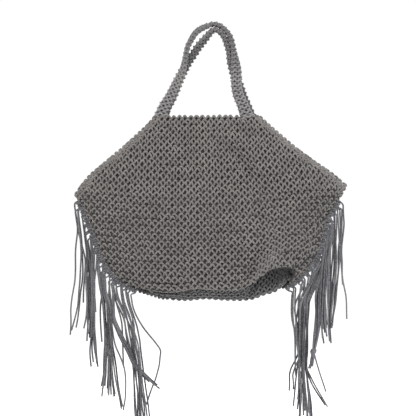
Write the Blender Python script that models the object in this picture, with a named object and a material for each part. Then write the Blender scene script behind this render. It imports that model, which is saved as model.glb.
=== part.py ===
"""A knotted cord shoulder bag as it hangs by its two straps.

Metres, +Z up, the front towards -Y. The origin is where the straps lie one over the other
over whatever holds them. Two knotted panels face each other. Their slanted upper
borders are free and roll inwards, so that the mouth runs from one corner to the other. Their lower
borders meet in the side seams, where the cord ends hang out as a fringe, and a base strip closes
the bottom between the panels' lower edges.
"""

import math

import bmesh
import bpy
from mathutils import Vector

# Driving dimensions
BODY_HALF_WIDTH = 0.226  # from the middle under the straps to a corner
BODY_HEIGHT = 0.308
BELLY_DEPTH = 0.042  # from the middle plane to the face of one panel at its fullest
HANDLE_DROP = 0.1427  # from the hang point to the panels' top edge
HANDLE_REACH = 0.080  # how far to each side a strap spreads, as the shares below take it

WALL = 0.005  # the knotted cord's thickness
BASE_WALL = 0.004
MOUTH_GAP = 0.004  # between the rolled borders of the two panels
SEAM_GAP = 0.0008  # between the two panels in the side seams
FIT_GAP = 0.0005  # between pieces that meet

STRAP_WIDTH = 0.018
STRAP_THICKNESS = 0.0066
STRAP_CORNER = 0.4  # share of half the strap's thickness that its rounded corners take
STRAP_GAP = 0.0010  # between the two straps where one lies over the other

BASE_TUCK = 0.006  # how far the base strip reaches up inside the panels' lower edges
BASE_GAP = 0.0020  # between the base strip and the panels' inner faces
WAVE_RECESS = 0.014  # how far the base strip draws back under the raised wave of the front edge

SEAM_CORD_RADIUS = 0.003
SEAM_CORD_GAP = 0.0009  # between that cord and the panels' sides
FRINGE_LENGTH = 0.234
LOCK_WIDTH = 0.0165
LOCK_THINNESS = 0.62  # a lock's thickness, as a share of its width
LOCK_PUSH = 0.0045  # how far a lock stands out from the seam before it hangs
LOCK_BEND = 0.08  # share of its length in which it does so
THINNEST_LOCK = 0.45  # the least width, as in the tables below, that a lock's thickness goes by

# The panels, a row for each height: the height and both sides are shares of BODY_HEIGHT and
# BODY_HALF_WIDTH, the depth is a share of BELLY_DEPTH. Fullness squares the section off towards
# its ends, and roundness 1 ends it in a wedge, as in the seams, 2 in a half round, as along the
# slanted borders. Mouth is 0 where the panels are seamed and 1 where they are open.
PANEL_ROWS = (
    # height, left, right, depth, fullness, roundness, mouth
    (0.032, -0.445, 0.372, 0.74, 2.5, 1.25, 0.0),
    (0.064, -0.591, 0.522, 0.80, 2.5, 1.20, 0.0),
    (0.107, -0.693, 0.613, 0.87, 2.5, 1.20, 0.0),
    (0.161, -0.759, 0.686, 0.93, 2.4, 1.15, 0.0),
    (0.241, -0.821, 0.766, 0.98, 2.4, 1.15, 0.0),
    (0.332, -0.861, 0.799, 1.00, 2.4, 1.15, 0.0),
    (0.450, -0.927, 0.843, 0.97, 2.5, 1.15, 0.0),
    (0.515, -0.966, 0.898, 0.92, 2.8, 1.25, 0.1),
    (0.566, -1.014, 0.946, 0.86, 3.4, 1.45, 0.5),
    (0.611, -0.972, 0.981, 0.80, 4.4, 1.75, 0.9),
    (0.670, -0.907, 0.891, 0.72, 5.4, 1.95, 1.0),
    (0.737, -0.797, 0.757, 0.64, 6.2, 2.00, 1.0),
    (0.804, -0.686, 0.631, 0.57, 6.8, 2.00, 1.0),
    (0.870, -0.587, 0.523, 0.51, 7.4, 2.00, 1.0),
    (0.938, -0.486, 0.416, 0.46, 8.0, 2.00, 1.0),
    (1.000, -0.416, 0.328, 0.43, 8.6, 2.00, 1.0),
)

# The panels' lower edges: across is the share from the section's middle to its side, height a
# share of BODY_HEIGHT. The front edge is lifted in one high wave near its right side.
FRONT_HEM = (
    # across, height
    (-1.00, 0.055),
    (-0.92, 0.066),
    (-0.80, 0.050),
    (-0.66, 0.041),
    (-0.37, 0.048),
    (-0.15, 0.063),
    (0.04, 0.057),
    (0.34, 0.054),
    (0.47, 0.068),
    (0.55, 0.120),
    (0.63, 0.166),
    (0.76, 0.178),
    (0.88, 0.164),
    (0.95, 0.120),
    (1.00, 0.075),
)
BACK_HEM = (
    # across, height
    (-1.00, 0.055),
    (-0.85, 0.060),
    (-0.40, 0.036),
    (0.10, 0.034),
    (0.50, 0.042),
    (0.85, 0.072),
    (1.00, 0.075),
)
WAVE_START = 0.070  # hem heights over this count as the wave
WAVE_TOP = 0.170

# The line that the base strip hangs down to, across as a share of BODY_HALF_WIDTH. At its right
# end it climbs inside the side seam, so that the strip closes the space behind the wave.
KEEL = (
    # across, height
    (-0.500, 0.042),
    (-0.445, 0.030),
    (-0.380, 0.016),
    (-0.307, 0.005),
    (-0.204, 0.000),
    (-0.051, 0.009),
    (0.044, 0.004),
    (0.182, 0.000),
    (0.277, 0.005),
    (0.372, 0.030),
    (0.440, 0.043),
    (0.480, 0.062),
    (0.520, 0.090),
    (0.565, 0.120),
)
KEEL_RISE = 0.030  # the least height that the strip climbs behind its keel
# The strip's section between the two hems.
RIM_FOLD = 0.002  # how far its rims are drawn in, and how far below the hems
FRONT_BULGE = 0.004  # how far its front lies in, halfway down
RECESS_BELOW = 0.7  # share of the recess that is left there
KEEL_EDGE = 0.009  # how far in from the front the keel's edge lies
KEEL_EDGE_RISE = 0.1  # and how high it is, as a share of the strip's front
KEEL_SHARES = (0.45, 0.15, 0.65)  # where the strip bends under the bag, as shares of its depth
BACK_RISE = 0.3  # how high the last of those bends lies, as a share of the strip's back

# Soft folds and swellings of the panels, each along a line from one place to another. Across is
# a share of BODY_HALF_WIDTH, height of BODY_HEIGHT, and reach and rise are shares of BELLY_DEPTH.
FRONT_FOLDS = (
    # across, height, to across, to height, reach, rise
    (0.139, 0.804, 0.380, 0.580, 0.24, -0.11),
    (0.220, 0.820, 0.560, 0.620, 0.36, 0.07),
    (-0.350, 0.370, 0.020, 0.360, 0.50, -0.09),
    (-0.690, 0.380, -0.560, 0.330, 0.45, -0.10),
    (-0.250, 0.110, 0.120, 0.100, 0.55, 0.08),
    (0.360, 0.180, 0.560, 0.215, 0.34, 0.14),
    (0.260, 0.130, 0.330, 0.260, 0.30, -0.10),
)
BACK_FOLDS = (
    # across, height, to across, to height, reach, rise
    (-0.200, 0.830, -0.420, 0.560, 0.32, -0.10),
    (0.180, 0.720, 0.480, 0.470, 0.36, -0.08),
    (-0.300, 0.220, 0.300, 0.180, 0.60, 0.08),
    (0.520, 0.360, 0.680, 0.300, 0.40, -0.08),
)
FOLD_BORDER = 8  # the higher, the closer to the panel's sides the folds run
PROBE = 0.02  # share of a panel over which its slope is measured

BASE_STATIONS = 30
BASE_STEPS = 2
PANEL_COLUMNS = 26
LOWER_ROWS = (0.0, 0.22, 0.45, 0.72)  # shares of the way from the hem to the first level row
LEVEL_ROWS = (0.25, 0.332, 0.39, 0.45, 0.515, 0.566, 0.611, 0.67, 0.737, 0.804, 0.87, 0.938, 1.0)

# The straps' middle lines from left to right: across is a share of HANDLE_REACH, drop of
# HANDLE_DROP, depth of the depth of the strap's own foot, and turn is how far the strap has turned
# from facing the front, in degrees. Where they hang, the front strap lies over the back one.
FRONT_STRAP = (
    # across, drop, depth, turn
    (-0.978, 0.934, 0.98, 8),
    (-0.891, 0.838, 0.93, 10),
    (-0.808, 0.742, 0.87, 16),
    (-0.734, 0.647, 0.80, 34),
    (-0.660, 0.559, 0.72, 52),
    (-0.608, 0.474, 0.65, 66),
    (-0.573, 0.396, 0.56, 77),
    (-0.549, 0.322, 0.50, 82),
    (-0.514, 0.245, 0.34, 80),
    (-0.468, 0.185, 0.14, 84),
    (-0.390, 0.106, 0.05, 82),
    (-0.287, 0.052, 0.00, 80),
    (-0.165, 0.020, 0.00, 80),
    (-0.062, 0.001, 0.00, 86),
    (0.029, -0.005, 0.00, 88),
    (0.138, 0.015, 0.00, 88),
    (0.260, 0.071, 0.03, 86),
    (0.347, 0.129, 0.08, 84),
    (0.392, 0.196, 0.16, 84),
    (0.415, 0.263, 0.24, 84),
    (0.427, 0.327, 0.32, 80),
    (0.437, 0.399, 0.43, 64),
    (0.452, 0.486, 0.56, 38),
    (0.466, 0.576, 0.66, 16),
    (0.472, 0.654, 0.75, 10),
    (0.487, 0.743, 0.84, 8),
    (0.524, 0.824, 0.90, 8),
    (0.584, 0.903, 0.96, 8),
)
BACK_STRAP = (
    # across, drop, depth, turn
    (-0.969, 0.933, 0.98, 8),
    (-0.889, 0.834, 0.93, 12),
    (-0.813, 0.735, 0.87, 18),
    (-0.745, 0.636, 0.80, 28),
    (-0.672, 0.544, 0.73, 40),
    (-0.590, 0.456, 0.66, 50),
    (-0.505, 0.372, 0.56, 56),
    (-0.406, 0.294, 0.46, 58),
    (-0.305, 0.209, 0.28, 58),
    (-0.204, 0.138, 0.12, 62),
    (-0.115, 0.079, 0.04, 72),
    (-0.041, 0.029, 0.00, 80),
    (0.037, -0.000, 0.00, 88),
    (0.101, 0.018, 0.00, 88),
    (0.163, 0.056, 0.02, 86),
    (0.219, 0.105, 0.08, 84),
    (0.264, 0.160, 0.16, 84),
    (0.293, 0.223, 0.24, 84),
    (0.313, 0.291, 0.32, 84),
    (0.347, 0.369, 0.43, 76),
    (0.398, 0.462, 0.56, 60),
    (0.458, 0.558, 0.66, 40),
    (0.514, 0.641, 0.75, 25),
    (0.561, 0.735, 0.84, 14),
    (0.604, 0.818, 0.90, 9),
    (0.658, 0.901, 0.96, 8),
)
# Where the straps grow out of the panels' top edges, as shares from its middle to its ends.
FRONT_STRAP_FEET = (-0.863, 0.741)
BACK_STRAP_FEET = (-0.853, 0.811)
STRAP_STEPS = 2  # sections for each row of the table

# The locks of the fringe, a row each: start is the height on the seam, length and the drifts
# are shares of FRINGE_LENGTH, width of LOCK_WIDTH. The drifts are to the right, at a quarter, at
# half and at the end of the lock, and the last one is towards the back at its end.
LEFT_LOCKS = (
    # start, length, width, quarter, half, end, back
    (0.493, 0.874, 0.62, -0.010, -0.008, -0.048, -0.030),
    (0.407, 0.818, 0.85, 0.010, 0.012, 0.030, 0.030),
    (0.343, 0.924, 0.68, 0.008, 0.020, 0.025, -0.020),
    (0.252, 1.000, 1.00, 0.030, 0.067, 0.092, 0.025),
    (0.188, 1.008, 0.78, 0.025, 0.053, 0.113, -0.030),
    (0.123, 0.800, 0.60, 0.010, 0.056, 0.324, -0.045),
    (0.091, 1.020, 0.86, 0.060, 0.106, 0.134, 0.030),
    (0.060, 0.790, 0.30, 0.063, 0.162, 0.070, -0.020),
)
RIGHT_LOCKS = (
    # start, length, width, quarter, half, end, back
    (0.520, 0.830, 0.40, 0.035, 0.020, 0.050, -0.025),
    (0.480, 0.900, 0.74, 0.020, 0.010, -0.028, 0.030),
    (0.418, 0.880, 0.82, -0.006, -0.028, -0.007, -0.030),
    (0.322, 0.920, 0.76, -0.020, -0.070, -0.070, 0.025),
    (0.204, 1.150, 1.05, -0.045, -0.072, -0.042, -0.020),
    (0.139, 0.860, 0.56, -0.020, -0.042, -0.106, 0.030),
    (0.090, 0.860, 0.46, 0.014, 0.056, 0.240, -0.040),
    (0.068, 0.450, 0.36, 0.014, 0.035, 0.067, 0.020),
)
# A lock's girth along its length.
LOCK_GIRTH = (
    # along, girth
    (0.00, 0.36),
    (0.10, 0.60),
    (0.28, 0.90),
    (0.60, 1.00),
    (0.90, 0.86),
    (1.00, 0.55),
)
SEAM_TOP = 0.530  # the fringe's highest and lowest place on the seam, as shares of BODY_HEIGHT
SEAM_BOTTOM = 0.056
LOCK_SECTIONS = 9
LOCK_SPACING = 1.25  # its sections lie closer together towards the seam
LOCK_SIDES = 8
SEAM_SECTIONS = 14

FRONT, BACK = -1, 1
LEFT, RIGHT = -1, 1


def clear_scene():
    for item in list(bpy.data.objects):
        bpy.data.objects.remove(item, do_unlink=True)


def finish_material(name, colour, roughness):
    """A matt cord finish in one colour."""
    material = bpy.data.materials.new(name)
    material.use_nodes = True
    shader = material.node_tree.nodes["Principled BSDF"]
    shader.inputs["Base Color"].default_value = (*colour, 1.0)
    shader.inputs["Roughness"].default_value = roughness
    shader.inputs["Metallic"].default_value = 0.0
    return material


def even(rows, key, column):
    """A column of a table at key, in straight runs from row to row."""
    if key <= rows[0][0]:
        return rows[0][column]
    for low, high in zip(rows, rows[1:]):
        if key <= high[0]:
            share = (key - low[0]) / (high[0] - low[0])
            return low[column] + share * (high[column] - low[column])
    return rows[-1][column]


def smooth(rows, key, column):
    """A column of a table at key, on a curve through the rows that never swings past them."""
    key = min(max(key, rows[0][0]), rows[-1][0])
    last = len(rows) - 2
    place = next((i for i in range(last) if key <= rows[i + 1][0]), last)
    slopes = []
    for low, high in zip(rows, rows[1:]):
        slopes.append((high[column] - low[column]) / (high[0] - low[0]))

    def slope_at(row):
        if row == 0:
            return slopes[0]
        if row == len(slopes):
            return slopes[-1]
        before, after = slopes[row - 1], slopes[row]
        return 0.0 if before * after <= 0 else 2 * before * after / (before + after)

    low, high = rows[place], rows[place + 1]
    span = high[0] - low[0]
    s = (key - low[0]) / span
    rise = s * s * (3 - 2 * s)
    start_bend = s * (1 - s) ** 2 * slope_at(place)
    end_bend = s * s * (s - 1) * slope_at(place + 1)
    return low[column] + rise * (high[column] - low[column]) + span * (start_bend + end_bend)


def height_of(share):
    """The world height of a share of the body's height."""
    return -HANDLE_DROP - (1 - share) * BODY_HEIGHT


def fold_rise(folds, x, height, border):
    """How far the folds lift or sink a panel's face at a place."""
    rise = 0.0
    z = height * BODY_HEIGHT
    for across, start, to_across, end, reach, amount in folds:
        first = Vector((across * BODY_HALF_WIDTH, start * BODY_HEIGHT))
        line = Vector((to_across * BODY_HALF_WIDTH, end * BODY_HEIGHT)) - first
        place = Vector((x, z)) - first
        along = min(max(place.dot(line) / line.length_squared, 0.0), 1.0)
        away = (place - line * along).length / (reach * BELLY_DEPTH)
        rise += amount * BELLY_DEPTH * math.exp(-away * away)
    return rise * (1 - abs(border) ** FOLD_BORDER)


def panel_point(side, across, height, inset=0.0):
    """A point on a panel's face, or inset within it: across is -1 and 1 at its sides."""
    left = even(PANEL_ROWS, height, 1) * BODY_HALF_WIDTH + inset
    right = even(PANEL_ROWS, height, 2) * BODY_HALF_WIDTH - inset
    depth = smooth(PANEL_ROWS, height, 3) * BELLY_DEPTH - inset
    fullness = smooth(PANEL_ROWS, height, 4)
    roundness = smooth(PANEL_ROWS, height, 5)
    mouth = smooth(PANEL_ROWS, height, 6)
    gap = SEAM_GAP + mouth * (MOUTH_GAP - SEAM_GAP)
    x = (left + right) / 2 + across * (right - left) / 2
    swell = (1 - min(abs(across), 1.0) ** fullness) ** (1 / roundness)
    folds = FRONT_FOLDS if side == FRONT else BACK_FOLDS
    y = depth * swell + fold_rise(folds, x, height, across)
    return Vector((x, side * (y + gap / 2), height_of(height)))


def hem_height(side, across):
    return smooth(FRONT_HEM if side == FRONT else BACK_HEM, across, 1)


def add_object(name, mesh_builder, material):
    """Makes a named object of what the builder leaves in a bmesh, its faces outwards."""
    shape = bmesh.new()
    mesh_builder(shape)
    bmesh.ops.recalc_face_normals(shape, faces=shape.faces)
    mesh = bpy.data.meshes.new(name)
    shape.to_mesh(mesh)
    shape.free()
    mesh.materials.append(material)
    mesh.shade_smooth()
    mesh.set_sharp_from_angle(angle=math.radians(40))
    item = bpy.data.objects.new(name, mesh)
    bpy.context.scene.collection.objects.link(item)
    return item


def skin(shape, outer, inner):
    """A sheet with thickness: two grids of points with the same rows, joined round their edges."""
    outside = [[shape.verts.new(point) for point in row] for row in outer]
    inside = [[shape.verts.new(point) for point in row] for row in inner]
    rows, columns = len(outer), len(outer[0])
    for i in range(rows - 1):
        for j in range(columns - 1):
            for grid in (outside, inside):
                shape.faces.new((grid[i][j], grid[i][j + 1], grid[i + 1][j + 1], grid[i + 1][j]))
    border = [(0, j) for j in range(columns - 1)]
    border += [(i, columns - 1) for i in range(rows - 1)]
    border += [(rows - 1, j) for j in range(columns - 1, 0, -1)]
    border += [(i, 0) for i in range(rows - 1, 0, -1)]
    for (i, j), (k, m) in zip(border, border[1:] + border[:1]):
        shape.faces.new((outside[i][j], outside[k][m], inside[k][m], inside[i][j]))


def loft(shape, sections):
    """A solid through closed sections with as many points each, capped at both ends."""
    rings = [[shape.verts.new(point) for point in section] for section in sections]
    count = len(rings[0])
    for low, high in zip(rings, rings[1:]):
        for i in range(count):
            j = (i + 1) % count
            shape.faces.new((low[i], low[j], high[j], high[i]))
    shape.faces.new(rings[0][::-1])
    shape.faces.new(rings[-1])


def build_panel(name, side, material):
    """One knotted panel: a crowned wall from the hem to the top edge, hollow behind."""
    columns = []
    for j in range(PANEL_COLUMNS + 1):
        columns.append(math.sin(math.pi / 2 * (2 * j / PANEL_COLUMNS - 1)))
    heights = []
    for share in LOWER_ROWS:
        row = []
        for across in columns:
            hem = hem_height(side, across)
            row.append(hem + share * (LEVEL_ROWS[0] - hem))
        heights.append(row)
    heights += [[level] * len(columns) for level in LEVEL_ROWS]

    def grid(inset):
        return [[panel_point(side, a, h, inset) for a, h in zip(columns, row)] for row in heights]

    return add_object(name, lambda shape: skin(shape, grid(0.0), grid(WALL)), material)


def strap_section(centre, wide, thick, width, thickness):
    """A flat section with rounded corners, round its centre."""
    cut = STRAP_CORNER * thickness / 2
    half_w, half_t = width / 2, thickness / 2
    corners = (
        (half_w, half_t - cut),
        (half_w - cut, half_t),
        (cut - half_w, half_t),
        (-half_w, half_t - cut),
        (-half_w, cut - half_t),
        (cut - half_w, -half_t),
        (half_w - cut, -half_t),
        (half_w, cut - half_t),
    )
    return [centre + wide * w + thick * t for w, t in corners]


def strap_line(rows, side):
    """Points and turns along a strap, on a smooth curve through the rows of its table."""
    middle = len(rows) // 2
    feet = FRONT_STRAP_FEET if side == FRONT else BACK_STRAP_FEET
    depths = [abs(panel_point(side, foot, 1.0, WALL / 2).y) for foot in feet]
    nest = -side * (STRAP_THICKNESS + STRAP_GAP) / 2
    points = []
    for index, (across, drop, depth, turn) in enumerate(rows):
        y = side * depth * (depths[0] if index < middle else depths[1])
        z = nest * (1 - depth) - drop * HANDLE_DROP
        points.append((across * HANDLE_REACH, y, z, turn))
    line = []
    for i in range(len(points) - 1):
        around = [points[min(max(i + k, 0), len(points) - 1)] for k in (-1, 0, 1, 2)]
        for step in range(STRAP_STEPS):
            line.append(catmull(around, step / STRAP_STEPS))
    line.append(points[-1])
    return line


def catmull(around, s):
    """The point at share s between the middle two of four, on a smooth curve through them."""
    found = []
    for a, b, c, d in zip(*around):
        bend = 2 * a - 5 * b + 4 * c - d
        twist = 3 * b - a - 3 * c + d
        found.append(b + 0.5 * s * (c - a + s * (bend + s * twist)))
    return tuple(found)


def foot_section(side, across, next_point):
    """A strap's end, flat on the panel's top edge and cut level, so wider where the strap leans."""
    centre = panel_point(side, across, 1.0, WALL / 2)
    along = panel_point(side, across + PROBE, 1.0, WALL / 2)
    along -= panel_point(side, across - PROBE, 1.0, WALL / 2)
    wide = along.normalized()
    thick = wide.cross(Vector((0, 0, 1)))
    centre.z += FIT_GAP
    rise = Vector(next_point) - centre
    return strap_section(centre, wide, thick, STRAP_WIDTH * rise.length / rise.z, STRAP_THICKNESS)


def build_strap(name, rows, side, material):
    """One knotted strap, from the left of its panel's top edge over the hang point to the right."""
    feet = FRONT_STRAP_FEET if side == FRONT else BACK_STRAP_FEET
    line = strap_line(rows, side)
    sections = [foot_section(side, feet[0], line[0][:3])]
    for index, (x, y, z, turn) in enumerate(line):
        before = Vector(line[max(index - 1, 0)][:3])
        after = Vector(line[min(index + 1, len(line) - 1)][:3])
        tangent = (after - before).normalized()
        flat = Vector((tangent.z, 0.0, -tangent.x)).normalized()
        away = Vector((0.0, 1.0, 0.0))
        angle = math.radians(turn)
        wide = flat * math.cos(angle) + away * (side * math.sin(angle))
        wide = (wide - tangent * wide.dot(tangent)).normalized()
        thick = wide.cross(tangent)
        centre = Vector((x, y, z))
        sections.append(strap_section(centre, wide, thick, STRAP_WIDTH, STRAP_THICKNESS))
    sections.append(foot_section(side, feet[1], line[-1][:3]))
    sections = aligned(sections)
    return add_object(name, lambda shape: loft(shape, sections), material)


def aligned(sections):
    """Turns and reverses each section's points so that they run on from the section before."""
    result = [sections[0]]
    for section in sections[1:]:
        last = result[-1]
        middle = sum(section, Vector()) / len(section) - sum(last, Vector()) / len(last)
        options = []
        for order in (section, section[::-1]):
            for shift in range(len(order)):
                options.append(order[shift:] + order[:shift])
        result.append(min(options, key=lambda points: spread(points, last, middle)))
    return result


def spread(points, last, middle):
    return sum((p - q - middle).length_squared for p, q in zip(points, last))


def hem_below(side, x):
    """The height of a panel's lower edge at x."""
    hem = LEVEL_ROWS[0]
    for _ in range(8):
        left = even(PANEL_ROWS, hem, 1) * BODY_HALF_WIDTH
        right = even(PANEL_ROWS, hem, 2) * BODY_HALF_WIDTH
        hem = hem_height(side, (2 * x - left - right) / (right - left))
    return hem


def base_section(x):
    """Points across the base strip from front to back, in the plane at x."""
    keel = smooth(KEEL, x / BODY_HALF_WIDTH, 1)
    hem = hem_below(FRONT, x)
    back_hem = max(hem_below(BACK, x), keel + KEEL_RISE)
    half = BASE_WALL / 2
    low = height_of(keel) + half
    wave = min(max((hem - WAVE_START) / (WAVE_TOP - WAVE_START), 0.0), 1.0)
    front = inner_depth(FRONT, x, hem)
    back = inner_depth(BACK, x, back_hem)
    top = height_of(hem)
    back_top = height_of(back_hem)
    recess = min(WAVE_RECESS, front / 2) * wave
    places = (
        (recess / 2 - front, top + BASE_TUCK),
        (recess - front + RIM_FOLD / 2, top - RIM_FOLD),
        (recess * RECESS_BELOW - front + FRONT_BULGE, (top + low) / 2),
        (KEEL_EDGE - front, low + KEEL_EDGE_RISE * (top - low)),
        (-front * KEEL_SHARES[0], low),
        (back * KEEL_SHARES[1], low + RIM_FOLD),
        (back * KEEL_SHARES[2], low + BACK_RISE * (back_top - low)),
        (back - RIM_FOLD, back_top - RIM_FOLD),
        (back, back_top + BASE_TUCK),
    )
    return places


def inner_depth(side, x, height):
    """How far out the middle of the base strip's wall may lie behind a panel at a place."""
    left = even(PANEL_ROWS, height, 1) * BODY_HALF_WIDTH + WALL
    right = even(PANEL_ROWS, height, 2) * BODY_HALF_WIDTH - WALL
    across = (x - (left + right) / 2) * 2 / (right - left)
    face = panel_point(side, across, height, WALL)
    beside = panel_point(side, across + math.copysign(PROBE, x), height, WALL)
    slope = abs((beside.y - face.y) / (beside.x - face.x))
    return abs(face.y) - (BASE_GAP + BASE_WALL / 2) * math.hypot(1.0, slope)


def build_base(name, material):
    """The base strip: a trough that hangs from inside one hem to inside the other."""
    lower, upper = [], []
    start, end = KEEL[0][0] * BODY_HALF_WIDTH, KEEL[-1][0] * BODY_HALF_WIDTH
    for i in range(BASE_STATIONS + 1):
        x = start + (end - start) * i / BASE_STATIONS
        points = base_section(x)
        line = []
        for k in range(len(points) - 1):
            around = [points[min(max(k + n, 0), len(points) - 1)] for n in (-1, 0, 1, 2)]
            at_rim = k in (0, len(points) - 2)
            for step in range(1 if at_rim else BASE_STEPS):
                line.append(catmull(around, step / BASE_STEPS))
        line.append(points[-1])
        below, above = [], []
        for k, (y, z) in enumerate(line):
            y0, z0 = line[max(k - 1, 0)]
            y1, z1 = line[min(k + 1, len(line) - 1)]
            length = math.hypot(y1 - y0, z1 - z0)
            out_y = (z1 - z0) / length * BASE_WALL / 2
            out_z = -(y1 - y0) / length * BASE_WALL / 2
            below.append(Vector((x, y + out_y, z + out_z)))
            above.append(Vector((x, y - out_y, z - out_z)))
        lower.append(below)
        upper.append(above)
    return add_object(name, lambda shape: skin(shape, lower, upper), material)


def seam_point(side, height, out):
    """A point out from the seam between the panels, square to the seam's line."""
    column = 1 if side == LEFT else 2
    x = even(PANEL_ROWS, height, column) * BODY_HALF_WIDTH
    above = even(PANEL_ROWS, height + PROBE, column) * BODY_HALF_WIDTH
    below = even(PANEL_ROWS, height - PROBE, column) * BODY_HALF_WIDTH
    along = Vector((above - below, 0.0, 2 * PROBE * BODY_HEIGHT)).normalized()
    outward = Vector((side * along.z, 0.0, -side * along.x))
    return Vector((x, 0.0, height_of(height))) + outward * out


def tube_section(centre, tangent, width, thickness):
    """A round or flattened section square to a line that hangs in the XZ plane."""
    flat = Vector((tangent.z, 0.0, -tangent.x)).normalized()
    away = flat.cross(tangent).normalized()
    section = []
    for k in range(LOCK_SIDES):
        angle = 2 * math.pi * (k + 0.5) / LOCK_SIDES
        section.append(
            centre + flat * (width / 2 * math.cos(angle)) + away * (thickness / 2 * math.sin(angle))
        )
    return section


def sections_along(points, widths, thicknesses):
    sections = []
    for i, point in enumerate(points):
        tangent = points[min(i + 1, len(points) - 1)] - points[max(i - 1, 0)]
        sections.append(tube_section(point, tangent.normalized(), widths[i], thicknesses[i]))
    return aligned(sections)


def lock_sections(side, row):
    """One lock: out from the seam, then down with the drifts of its row."""
    start, length, width, quarter, half, end, back = row
    drifts = ((0.0, 0.0), (0.25, quarter), (0.5, half), (1.0, end))
    root = seam_point(side, start, SEAM_CORD_RADIUS + SEAM_CORD_GAP)
    points, widths, thicknesses = [], [], []
    for k in range(LOCK_SECTIONS + 1):
        along = (k / LOCK_SECTIONS) ** LOCK_SPACING
        girth = smooth(LOCK_GIRTH, along, 1)
        drift = smooth(drifts, along, 1) * FRINGE_LENGTH
        push = side * LOCK_PUSH * min(along / LOCK_BEND, 1.0)
        points.append(
            root
            + Vector((drift + push, back * along * FRINGE_LENGTH, -along * length * FRINGE_LENGTH))
        )
        widths.append(width * LOCK_WIDTH * girth)
        thicknesses.append(max(width, THINNEST_LOCK) * LOCK_WIDTH * LOCK_THINNESS * girth)
    return sections_along(points, widths, thicknesses)


def build_fringe(name, side, locks, material):
    """The cord along one seam with the locks of the fringe fused to it."""
    points = []
    for k in range(SEAM_SECTIONS + 1):
        height = SEAM_TOP + (SEAM_BOTTOM - SEAM_TOP) * k / SEAM_SECTIONS
        points.append(seam_point(side, height, SEAM_CORD_RADIUS + SEAM_CORD_GAP))
    round_width = [2 * SEAM_CORD_RADIUS] * len(points)
    head = sections_along(points, round_width, round_width)
    fringe = add_object(name, lambda shape: loft(shape, head), material)
    for number, row in enumerate(locks, start=1):
        sections = lock_sections(side, row)
        lock = add_object(f"{name}_lock_{number}", lambda shape: loft(shape, sections), material)
        lock.hide_render = True
        lock.display_type = "WIRE"
        join = fringe.modifiers.new(f"lock_{number}", "BOOLEAN")
        join.operation = "UNION"
        join.solver = "EXACT"
        join.object = lock
    return fringe


clear_scene()
front_cord = finish_material("front_cord", (0.30, 0.285, 0.275), 0.85)
back_cord = finish_material("back_cord", (0.28, 0.27, 0.26), 0.85)
base_cord = finish_material("base_cord", (0.22, 0.215, 0.21), 0.85)
strap_cord = finish_material("strap_cord", (0.33, 0.31, 0.30), 0.8)
back_strap_cord = finish_material("back_strap_cord", (0.31, 0.29, 0.285), 0.8)
fringe_cord = finish_material("fringe_cord", (0.24, 0.24, 0.25), 0.75)
right_fringe_cord = finish_material("right_fringe_cord", (0.235, 0.235, 0.245), 0.75)
build_panel("front_panel", FRONT, front_cord)
build_panel("back_panel", BACK, back_cord)
build_base("base", base_cord)
build_strap("handle_front", FRONT_STRAP, FRONT, strap_cord)
build_strap("handle_back", BACK_STRAP, BACK, back_strap_cord)
build_fringe("fringe_left", LEFT, LEFT_LOCKS, fringe_cord)
build_fringe("fringe_right", RIGHT, RIGHT_LOCKS, right_fringe_cord)
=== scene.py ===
"""A knotted cord shoulder bag as it hangs by its two straps.

Metres, +Z up, the front towards -Y. The origin is the point that the bag hangs by.
"""

import math
import random

import bmesh
import bpy
import numpy as np
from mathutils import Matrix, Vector


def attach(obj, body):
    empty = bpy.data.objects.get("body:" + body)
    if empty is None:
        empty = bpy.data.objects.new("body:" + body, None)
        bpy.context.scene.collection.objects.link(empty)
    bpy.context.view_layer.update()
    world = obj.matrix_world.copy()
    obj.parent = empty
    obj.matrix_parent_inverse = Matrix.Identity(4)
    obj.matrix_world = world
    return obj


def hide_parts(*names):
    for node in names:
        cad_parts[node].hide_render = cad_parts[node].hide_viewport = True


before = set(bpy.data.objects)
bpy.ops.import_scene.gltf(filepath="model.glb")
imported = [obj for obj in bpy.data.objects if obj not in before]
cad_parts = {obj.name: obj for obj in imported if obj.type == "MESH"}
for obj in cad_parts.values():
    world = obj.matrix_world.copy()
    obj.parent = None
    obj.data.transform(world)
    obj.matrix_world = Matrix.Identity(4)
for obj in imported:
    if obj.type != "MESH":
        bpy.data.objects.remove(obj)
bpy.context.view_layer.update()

# ---- View
# The bag hangs in an evenly lit white room. To the room's own light, soft lamps add a little from
# above the left in front, from behind and, cooler, from the right, so the hollows between the cords
# go dark.

FRAME_CENTRE = (-0.00825, -0.2987)  # x and z that the camera looks at
VIEW_DISTANCE = 2.4
VIEW_LENS = 125.9
ROOM_LIGHT = 1.03
BAG_MIDDLE = (0.0, 0.0, -0.3)  # where the lamps point
FLOOR_DROP = 0.80  # below the point that the bag hangs by
FLOOR_SPAN = 14.0


def in_scene(name, data):
    """A new object, linked to the scene."""
    thing = bpy.data.objects.new(name, data)
    bpy.context.scene.collection.objects.link(thing)
    return thing


view_data = bpy.data.cameras.new("view")
view_data.lens = VIEW_LENS
view_data.sensor_width = 36.0
view_data.clip_end = 60.0
view = in_scene("view", view_data)
view.location = (FRAME_CENTRE[0], -VIEW_DISTANCE, FRAME_CENTRE[1])
view.rotation_euler = (math.radians(90), 0.0, 0.0)
bpy.context.scene.camera = view
bpy.context.scene.view_settings.view_transform = "Standard"

room = bpy.data.worlds.new("room")
room.use_nodes = True
walls = room.node_tree.nodes["Background"]
walls.inputs["Color"].default_value = (1.0, 1.0, 1.0, 1.0)
walls.inputs["Strength"].default_value = ROOM_LIGHT
bpy.context.scene.world = room


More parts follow.
